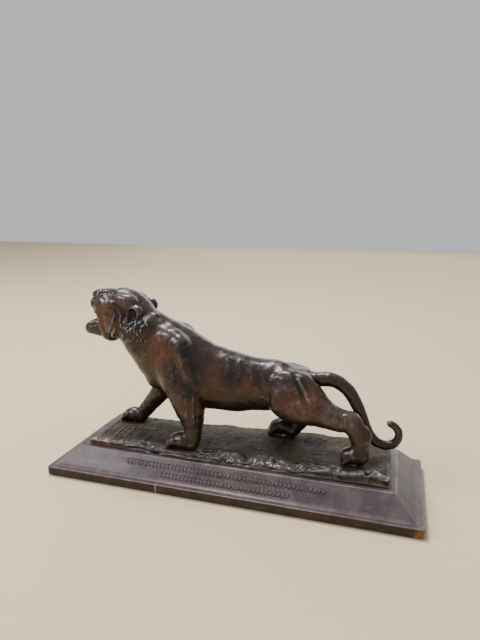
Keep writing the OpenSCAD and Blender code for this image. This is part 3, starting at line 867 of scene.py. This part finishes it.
screws, washers = [], []
for x, y, sole in tiger["soles"]:
    tip = sole + fasteners["reach"]
    headRadius, headHeight = fasteners["head"]
    under = fasteners["under"]
    headPiece = joinAs("screwHead", [upright(x, y, under - headHeight, under, headRadius)])
    applyModifier(headPiece, "BEVEL", width=0.25, segments=3, limit_method="ANGLE")
    recessRadius, recessDepth = fasteners["recess"]
    carve(headPiece, joinAs("recessCut", [upright(x, y, under - headHeight - 1, under - headHeight + recessDepth,
                                                 recessRadius, 6)]))
    shank = joinAs("screwShank", [upright(x, y, under - 0.3, tip, fasteners["shank"] - 0.16)])
    applyModifier(shank, "BEVEL", width=0.3, segments=2, limit_method="ANGLE")
    turns = [shank]
    z = tip - 4.4
    while z < tip - 0.5:
        bpy.ops.mesh.primitive_torus_add(major_radius=fasteners["shank"] - 0.2, minor_radius=0.19, major_segments=40,
                                         minor_segments=8, location=(x, y, z))
        turns.append(bpy.context.object)
        z += fasteners["pitch"]
    shank = fuse(joinAs("screwShank", turns), 0.12, 1)
    applyModifier(headPiece, "BOOLEAN", operation="UNION", object=shank, solver="MANIFOLD")
    bpy.data.objects.remove(shank)
    screws.append(headPiece)
    outer, inner, thick = fasteners["washer"]
    ring = joinAs("washerRing", [upright(x, y, under + 0.02, under + 0.02 + thick, outer)])
    carve(ring, joinAs("boreCut", [upright(x, y, under - 1, under + 3, inner)]))
    applyModifier(ring, "BEVEL", width=0.1, segments=2, limit_method="ANGLE")
    washers.append(ring)
for name, made, node in (("pawScrews", screws, "paw_screws"), ("pawWashers", washers, "paw_washers")):
    piece = joinAs(name, made)
    bpy.ops.object.shade_smooth_by_angle(angle=math.radians(30))
    finishPiece(piece, "screw_steel", node)

felt = {"half": (73.6, 24.85), "corner": 1.0, "thickness": 0.6}
bpy.ops.mesh.primitive_cube_add(size=1, location=(0, 0, felt["thickness"] / 2))
pad = bpy.context.object
pad.scale = (2 * felt["half"][0], 2 * felt["half"][1], felt["thickness"])
pad = joinAs("feltPad", [pad])
roundEdges(pad, felt["corner"], 8, uprightEdge)
applyModifier(pad, "BEVEL", width=0.12, segments=2, limit_method="ANGLE", angle_limit=math.radians(40))
bpy.ops.object.shade_smooth_by_angle(angle=math.radians(30))
finishPiece(pad, "felt", "felt_pad")

print("materials")


def put(tree, kind, inputs=None, **settings):
    node = tree.nodes.new("ShaderNode" + kind)
    for name, value in settings.items():
        setattr(node, name, value)
    for key, value in (inputs or {}).items():
        if isinstance(value, bpy.types.NodeSocket):
            tree.links.new(value, node.inputs[key])
        else:
            node.inputs[key].default_value = value
    return node


def maths(tree, operation, a, b=0.0, c=0.0, clamp=False):
    return put(tree, "Math", {0: a, 1: b, 2: c}, operation=operation, use_clamp=clamp).outputs[0]


def vectors(tree, operation, a, b=(0, 0, 0), scale=None):
    inputs = {0: a, 1: b}
    if scale is not None:
        inputs["Scale"] = scale
    node = put(tree, "VectorMath", inputs, operation=operation)
    return node.outputs[1 if operation in ("LENGTH", "DOT_PRODUCT") else 0]


def noiseOf(tree, vector, scale, detail=3.0, rough=0.55, stretch=None):
    if stretch:
        vector = put(tree, "Mapping", {"Vector": vector, "Scale": stretch}).outputs[0]
    return put(tree, "TexNoise", {"Vector": vector, "Scale": scale, "Detail": detail, "Roughness": rough}).outputs[0]


def spread(tree, value, low, high, toLow=0.0, toHigh=1.0):
    inputs = {0: value, 1: low, 2: high, 3: toLow, 4: toHigh}
    return put(tree, "MapRange", inputs, interpolation_type="SMOOTHSTEP").outputs[0]


def most(tree, first, *others):
    for other in others:
        first = maths(tree, "MAXIMUM", first, other)
    return first


def times(tree, a, b):
    return maths(tree, "MULTIPLY", a, b)


def blend(tree, factor, a, b, kind="MIX"):
    a, b = ((*c, 1) if isinstance(c, tuple) and len(c) == 3 else c for c in (a, b))
    return put(tree, "Mix", {0: factor, 6: a, 7: b}, data_type="RGBA", blend_type=kind).outputs[2]


def makeGroup(name, inputs, outputs):
    tree = bpy.data.node_groups.new(name, "ShaderNodeTree")
    for direction, rows in (("INPUT", inputs), ("OUTPUT", outputs)):
        for label, kind in rows:
            tree.interface.new_socket(label, in_out=direction, socket_type="NodeSocket" + kind)
    return tree, tree.nodes.new("NodeGroupInput").outputs, tree.nodes.new("NodeGroupOutput").inputs


def useGroup(tree, group, inputs):
    node = tree.nodes.new("ShaderNodeGroup")
    node.node_tree = group
    for key, value in inputs.items():
        if isinstance(value, bpy.types.NodeSocket):
            tree.links.new(value, node.inputs[key])
        else:
            node.inputs[key].default_value = value
    return node.outputs


# grain of the casting, slow stains and hairline scratches, from a position in millimetres
castSkin, skinIn, skinOut = makeGroup(
    "castSkin", [("Place", "Vector")],
    [("Grain", "Float"), ("Stain", "Float"), ("Patch", "Float"), ("Scratch", "Float")])
tree, place = castSkin, skinIn["Place"]
tree.links.new(noiseOf(tree, place, 1.7, 5, 0.65), skinOut["Grain"])
tree.links.new(noiseOf(tree, place, 0.16, 4, 0.6), skinOut["Stain"])
tree.links.new(noiseOf(tree, vectors(tree, "ADD", place, (31, 7, 12)), 0.055, 2, 0.5), skinOut["Patch"])
wander = noiseOf(tree, place, 0.3, 2, 0.5)
drawn = put(tree, "Mapping", {"Vector": place, "Rotation": (0.4, 0.7, 0.9), "Scale": (0.05, 1.9, 1.9)}).outputs[0]
thin = put(tree, "TexNoise", {"Vector": drawn, "Scale": 1.0, "Detail": 2.0}).outputs[0]
hairline = spread(tree, maths(tree, "ABSOLUTE", maths(tree, "SUBTRACT", thin, 0.5)), 0.012, 0.0)
tree.links.new(times(tree, hairline, spread(tree, wander, 0.5, 0.62)), skinOut["Scratch"])

# brown lacquer over bronze: dark in hollows and with painted shade underneath, rubbed where it stands proud and with
# painted highlights, red-brown in patches
patina, patIn, patOut = makeGroup(
    "patina", [("Grain", "Float"), ("Stain", "Float"), ("Patch", "Float"), ("HollowAndShade", "Float"), ("RubbedAndHighlight", "Float"),
               ("Glow", "Float"), ("Deep", "Color"), ("Coat", "Color"), ("Warm", "Color"), ("Bright", "Color")],
    [("Color", "Color"), ("Roughness", "Float"), ("Shine", "Float")])
tree, hollow, rubbed, grain = patina, patIn["HollowAndShade"], patIn["RubbedAndHighlight"], patIn["Grain"]
shade = blend(tree, spread(tree, patIn["Stain"], 0.35, 0.65), patIn["Deep"], patIn["Coat"])
shade = blend(tree, times(tree, patIn["Glow"], spread(tree, patIn["Patch"], 0.38, 0.62)), shade, patIn["Warm"])
# the rubbed input brings real wear and, on the figure and the ground, painted highlights
shade = blend(tree, times(tree, rubbed, spread(tree, grain, 0.3, 0.6, 0.45, 1)), shade, patIn["Bright"])
# the hollow input darkens patina in recesses and, on the figure, paints shade on downward-facing surfaces
shade = blend(tree, hollow, shade, blend(tree, 0.85, patIn["Deep"], (0.002, 0.0015, 0.001)))
tree.links.new(shade, patOut["Color"])
rough = maths(tree, "ADD", spread(tree, grain, 0.25, 0.75, 0.26, 0.42), times(tree, hollow, 0.22))
tree.links.new(maths(tree, "SUBTRACT", rough, times(tree, rubbed, 0.08)), patOut["Roughness"])
shine = times(tree, maths(tree, "SUBTRACT", 1.0, hollow), spread(tree, grain, 0.3, 0.6, 0.5, 1))
tree.links.new(maths(tree, "MULTIPLY_ADD", shine, 0.3, times(tree, rubbed, 0.5), clamp=True), patOut["Shine"])


def newMaterial(name, **principled):
    material = bpy.data.materials.new(name)
    material.use_nodes = True
    tree = material.node_tree
    shader = tree.nodes["Principled BSDF"]
    for key, value in principled.items():
        shader.inputs[key.replace("_", " ")].default_value = value
    place = vectors(tree, "SCALE", put(tree, "TexCoord").outputs["Object"], scale=1000.0)
    return material, tree, shader, place


def attribute(tree, name):
    return put(tree, "Attribute", attribute_name=name).outputs["Fac"]


def bumps(tree, height, distance, strength=1.0):
    return put(tree, "Bump", {"Height": height, "Distance": distance, "Strength": strength}).outputs[0]


def ballMask(tree, place, *balls):
    # 1 near any of the centres, 0 past its radius
    masks = []
    for centre, radius in balls:
        away = vectors(tree, "LENGTH", vectors(tree, "SUBTRACT", place, centre))
        masks.append(spread(tree, away, radius, radius * 0.35))
    return most(tree, *masks)


figureFinish = {
    "Deep": (0.0065, 0.0042, 0.0034, 1),
    "Coat": (0.026, 0.0125, 0.0075, 1),
    "Warm": (0.10, 0.034, 0.012, 1),
    "Bright": (0.17, 0.12, 0.11, 1),
}
figureBronze, tree, shader, place = newMaterial("figureBronze", Metallic=0.15, Specular_IOR_Level=0.3,
                                                Coat_Roughness=0.15)
skin = useGroup(tree, castSkin, {"Place": place})
fine, broad = attribute(tree, "fineRelief"), attribute(tree, "broadRelief")
x, y, z = put(tree, "SeparateXYZ", {0: place}).outputs
folded = put(tree, "CombineXYZ", {0: x, 1: maths(tree, "ABSOLUTE", y), 2: z}).outputs[0]
shoulders = ballMask(tree, place, ((-26, -9, 55), 12), ((1, -8, 47), 12), ((29, -9, 38), 10))
cheeks = ballMask(tree, folded, ((-56, 5, 66), 7))
cups = ballMask(tree, folded, ((-52.3, 5.6, 74.3), 2.0), ((-42.6, 8.0, 67.1), 2.6))  # eyes and ears
hock = ballMask(tree, place, ((43, -9, 34), 10))
crown = ballMask(tree, folded, ((-46, 5, 75), 7), ((-34, 3, 72), 7))
streaky = spread(tree, noiseOf(tree, place, 1.0, 3, 0.6, (0.9, 0.9, 0.22)), 0.38, 0.62, 0.35, 1)
# painted highlight: a streaky grey sheen painted lighter on the hock and the crown of the head
paintedSheen = times(tree, most(tree, hock, crown), times(tree, streaky, 0.5))
finish = useGroup(tree, patina, {
    **figureFinish, "Grain": skin["Grain"], "Stain": skin["Stain"], "Patch": skin["Patch"],
    # darker in the recesses, the eye sockets and the ear cups, plus painted shade on downward-facing surfaces
    "HollowAndShade": most(tree, spread(tree, broad, -0.10, -0.65), cups, times(tree, attribute(tree, "underside"), 0.8)),
    # rubbed raised relief plus the painted sheen
    "RubbedAndHighlight": most(tree, spread(tree, fine, 0.02, 0.12), paintedSheen),
    "Glow": maths(tree, "ADD", times(tree, most(tree, shoulders, cheeks), streaky), 0.16, clamp=True)})
tree.links.new(finish["Color"], shader.inputs["Base Color"])
tree.links.new(finish["Shine"], shader.inputs["Coat Weight"])
tree.links.new(finish["Roughness"], shader.inputs["Roughness"])
tree.links.new(bumps(tree, skin["Grain"], 0.00012, 0.5), shader.inputs["Normal"])

groundFinish = {
    "Deep": (0.010, 0.007, 0.004, 1),
    "Coat": (0.058, 0.045, 0.024, 1),
    "Warm": (0.065, 0.034, 0.014, 1),
    "Bright": (0.13, 0.12, 0.12, 1),
}
rimColour = (0.16, 0.05, 0.022)  # worn red-brown under the near paws and along the head end
groundBronze, tree, shader, place = newMaterial("groundBronze", Metallic=0.15, Specular_IOR_Level=0.25,
                                                Coat_Roughness=0.24)
skin = useGroup(tree, castSkin, {"Place": place})
fine, broad, rolled = (attribute(tree, name) for name in ("fineRelief", "broadRelief", "rolledEdge"))
gritty = noiseOf(tree, place, 1.5, 5, 0.75)
finish = useGroup(tree, patina, {
    **groundFinish, "Grain": gritty, "Stain": noiseOf(tree, place, 0.33, 4, 0.7), "Patch": skin["Stain"],
    "HollowAndShade": spread(tree, broad, -0.02, -0.4),
    # rubbed raised relief, plus a painted highlight on the rolled near edge
    "RubbedAndHighlight": most(tree, spread(tree, fine, 0.02, 0.12), times(tree, rolled, 0.35)), "Glow": 0.6})
rims = ballMask(tree, place, ((-53, -15.5, 13), 9), ((-20.4, -12, 13), 7), ((50, -9, 14.8), 7))
rims = times(tree, rims, spread(tree, maths(tree, "ADD", fine, times(tree, gritty, 0.1)), 0.03, 0.1))
tree.links.new(blend(tree, times(tree, rims, 0.6), finish["Color"], rimColour), shader.inputs["Base Color"])
tree.links.new(times(tree, maths(tree, "ADD", finish["Shine"], 0.25), rolled), shader.inputs["Coat Weight"])
tree.links.new(maths(tree, "ADD", finish["Roughness"], times(tree, maths(tree, "SUBTRACT", 1.0, rolled), 0.2)),
               shader.inputs["Roughness"])
tree.links.new(bumps(tree, gritty, 0.0009, 0.8), shader.inputs["Normal"])

plinthFinish = {
    "Deep": (0.048, 0.033, 0.036, 1),
    "Coat": (0.084, 0.060, 0.065, 1),
    "Warm": (0.10, 0.048, 0.040, 1),
    "Bright": (0.42, 0.27, 0.22, 1),
}
# painted shade: the upright skirt band is painted darker, mottled by stains
skirtShadeColours = ((0.012, 0.006, 0.004), (0.034, 0.013, 0.008))
copperColour = (0.36, 0.13, 0.04)  # one corner worn through to the metal
scratchX = -25.1  # a cut across the near skirt
plinthBronze, tree, shader, place = newMaterial("plinthBronze", Specular_IOR_Level=0.35, Coat_Roughness=0.28)
skin = useGroup(tree, castSkin, {"Place": place})
speckle = noiseOf(tree, place, 2.2, 4, 0.75)
folded = vectors(tree, "ABSOLUTE", place)
x, y, z = put(tree, "SeparateXYZ", {0: place}).outputs


def edgeDistance(tree, position, point, direction):
    along = Vector(direction).normalized()
    return vectors(tree, "LENGTH", vectors(tree, "CROSS_PRODUCT", vectors(tree, "SUBTRACT", position, point), along[:]))


stepX, stepY = halfX - plinth["step"], halfY - plinth["step"]
edges = [
    ((0, halfY, plinth["skirt"]), (1, 0, 0)), ((halfX, 0, plinth["skirt"]), (0, 1, 0)),
    ((0, topY, plinth["deck"]), (1, 0, 0)), ((topX, 0, plinth["deck"]), (0, 1, 0)),
    ((stepX, stepY, plinth["skirt"]), (topX - stepX, topY - stepY, plinth["deck"] - plinth["skirt"])),
    ((halfX - 0.3, halfY - 0.3, 0), (0, 0, 1)),
]
closest = edgeDistance(tree, folded, *edges[0])
for point, direction in edges[1:]:
    closest = maths(tree, "MINIMUM", closest, edgeDistance(tree, folded, point, direction))
ragged = maths(tree, "ADD", closest, times(tree, maths(tree, "SUBTRACT", skin["Stain"], 0.5), 0.9))
worn = times(tree, spread(tree, ragged, 0.5, 0.05), spread(tree, skin["Stain"], 0.4, 0.62, 0.15, 0.55))
cut = spread(tree, maths(tree, "ABSOLUTE", maths(tree, "SUBTRACT", x, scratchX)), 0.35, 0.12)
cut = times(tree, cut, times(tree, spread(tree, z, 4.4, 3.7), spread(tree, y, -20, -22)))
rubbed = most(tree, worn, times(tree, skin["Scratch"], 0.5), cut)
skirtMask = spread(tree, z, 3.75, 3.45)
finish = useGroup(tree, patina, {
    **plinthFinish, "Grain": speckle, "Stain": skin["Stain"], "Patch": skin["Patch"],
    "HollowAndShade": spread(tree, speckle, 0.42, 0.3, 0, 0.7), "RubbedAndHighlight": rubbed, "Glow": 0.25})
# the skirt band gets painted shade, except where it is rubbed
skirtShadeTone = blend(tree, spread(tree, skin["Stain"], 0.4, 0.6), *skirtShadeColours)
skirtShadeMask = times(tree, skirtMask, maths(tree, "SUBTRACT", 0.92, rubbed, clamp=True))
toned = blend(tree, skirtShadeMask, finish["Color"], skirtShadeTone)
copper = times(tree, ballMask(tree, place, ((74.5, -25.5, 0.6), 4.5)), spread(tree, skin["Grain"], 0.35, 0.6))
tree.links.new(blend(tree, times(tree, copper, 0.8), toned, copperColour), shader.inputs["Base Color"])
tree.links.new(maths(tree, "ADD", finish["Roughness"], 0.06), shader.inputs["Roughness"])
tree.links.new(spread(tree, skirtMask, 0, 1, 0.4, 0.1), shader.inputs["Metallic"])
tree.links.new(times(tree, finish["Shine"], spread(tree, skirtMask, 0, 1, 1, 0.25)), shader.inputs["Coat Weight"])
tree.links.new(bumps(tree, speckle, 0.00035, 0.7), shader.inputs["Normal"])

steelColours = ((0.33, 0.32, 0.30), (0.52, 0.51, 0.49))
screwSteel, tree, shader, place = newMaterial("screwSteel", Metallic=1.0)
skin = useGroup(tree, castSkin, {"Place": place})
tree.links.new(blend(tree, skin["Stain"], *steelColours), shader.inputs["Base Color"])
tree.links.new(spread(tree, skin["Grain"], 0.2, 0.8, 0.28, 0.5), shader.inputs["Roughness"])

feltColours = ((0.012, 0.030, 0.018), (0.045, 0.095, 0.058))
feltCloth, tree, shader, place = newMaterial("feltCloth", Roughness=0.95, Sheen_Weight=0.6, Sheen_Roughness=0.5)
fibres = noiseOf(tree, place, 2.4, 5, 0.75)
tree.links.new(blend(tree, fibres, *feltColours), shader.inputs["Base Color"])
tree.links.new(bumps(tree, fibres, 0.0003, 0.8), shader.inputs["Normal"])

finishes = {
    "tigerCast": figureBronze,
    "tailCast": figureBronze,
    "groundCast": groundBronze,
    "plinthCast": plinthBronze,
    "pawScrews": screwSteel,
    "pawWashers": screwSteel,
    "feltPad": feltCloth,
}
for name, material in finishes.items():
    piece = bpy.data.objects[name]
    piece.data.materials.clear()
    piece.data.materials.append(material)
